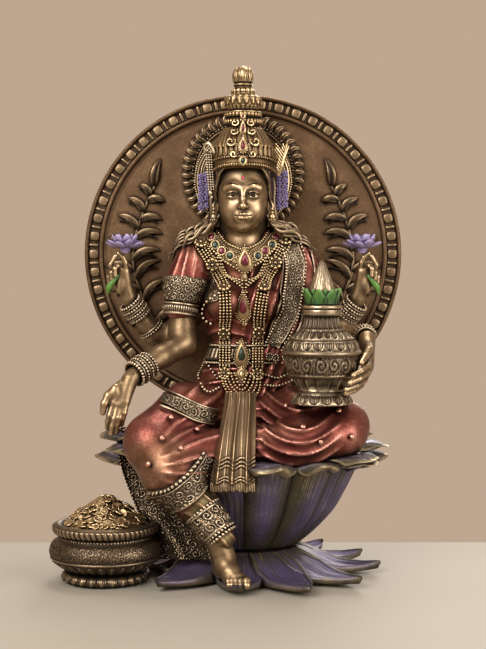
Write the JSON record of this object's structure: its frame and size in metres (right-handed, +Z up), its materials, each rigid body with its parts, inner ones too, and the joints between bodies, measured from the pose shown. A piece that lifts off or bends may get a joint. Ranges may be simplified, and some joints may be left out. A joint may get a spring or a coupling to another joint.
{
  "type": "hindu deity statue",
  "caption": "Seated four-armed goddess on a lotus throne before a round aureole, with a water pot on the knee and a pot of coins beside the base.",
  "frame": {"origin": "centre of the throne's underside, on the surface it stands on", "axes": "+Z up, -Y towards the viewer, +X towards the viewer's right, which is the figure's left"},
  "size_m": [0.176, 0.118, 0.2526],
  "materials": {
    "felt": "thin dark felt glued under the base and under the coin pot",
    "violet_patina": "cold-cast resin with a bronze powder skin, brushed over with violet between raised veins, bronze along the petal edges",
    "bronze": "cold-cast bronze, polished on high places and dark olive brown in the hollows",
    "dark_bronze": "cold-cast bronze left dark and rubbed bright only on its relief",
    "gold": "antique gold wash over relief, dark in the hollows",
    "copper_red": "metallic copper red wash over bronze, worn bright on the folds",
    "lilac_paint": "satin lilac paint, darker between the petals",
    "green_paint": "satin leaf green paint",
    "silvered_bronze": "pale grey bronze rubbed bright on its raised ornament"
  },
  "bodies": {
    "root": {"base_felt": "felt", "base_petal_ring": "violet_patina", "lotus_cup": "violet_patina", "seat_pod": "violet_patina", "cup_petal_01": "violet_patina", "cup_petal_02": "violet_patina", "cup_petal_03": "violet_patina", "cup_petal_04": "violet_patina", "cup_petal_05": "violet_patina", "cup_petal_06": "violet_patina", "cup_petal_07": "violet_patina", "cup_petal_08": "violet_patina", "cup_petal_09": "violet_patina", "cup_petal_10": "violet_patina", "cup_petal_11": "violet_patina", "aureole_disc": "bronze", "halo_plate": "dark_bronze", "right_branch": "bronze", "left_branch": "bronze", "head": "bronze", "crown": "dark_bronze", "crown_spire": "gold", "torso": "copper_red", "right_thigh": "copper_red", "right_shin": "copper_red", "right_foot": "bronze", "left_thigh": "copper_red", "left_shin": "copper_red", "right_sleeve": "copper_red", "right_forearm": "bronze", "left_sleeve": "copper_red", "left_forearm": "bronze", "rear_right_arm": "bronze", "rear_left_arm": "bronze", "right_hand": "bronze", "left_hand": "bronze", "rear_right_hand": "bronze", "rear_left_hand": "bronze", "right_lotus_flower": "lilac_paint", "left_lotus_flower": "lilac_paint", "hair": "dark_bronze", "right_ear_tassel": "lilac_paint", "right_shoulder_lock": "dark_bronze", "left_ear_tassel": "lilac_paint", "left_shoulder_lock": "dark_bronze", "breast_jewellery": "gold", "waist_sash": "bronze", "sari_train": "dark_bronze", "water_pot": "silvered_bronze", "mango_leaves": "green_paint", "coconut": "silvered_bronze", "coin_pot_felt": "felt", "coin_pot": "dark_bronze", "coin_heap": "gold"}
  },
  "joints": []
}
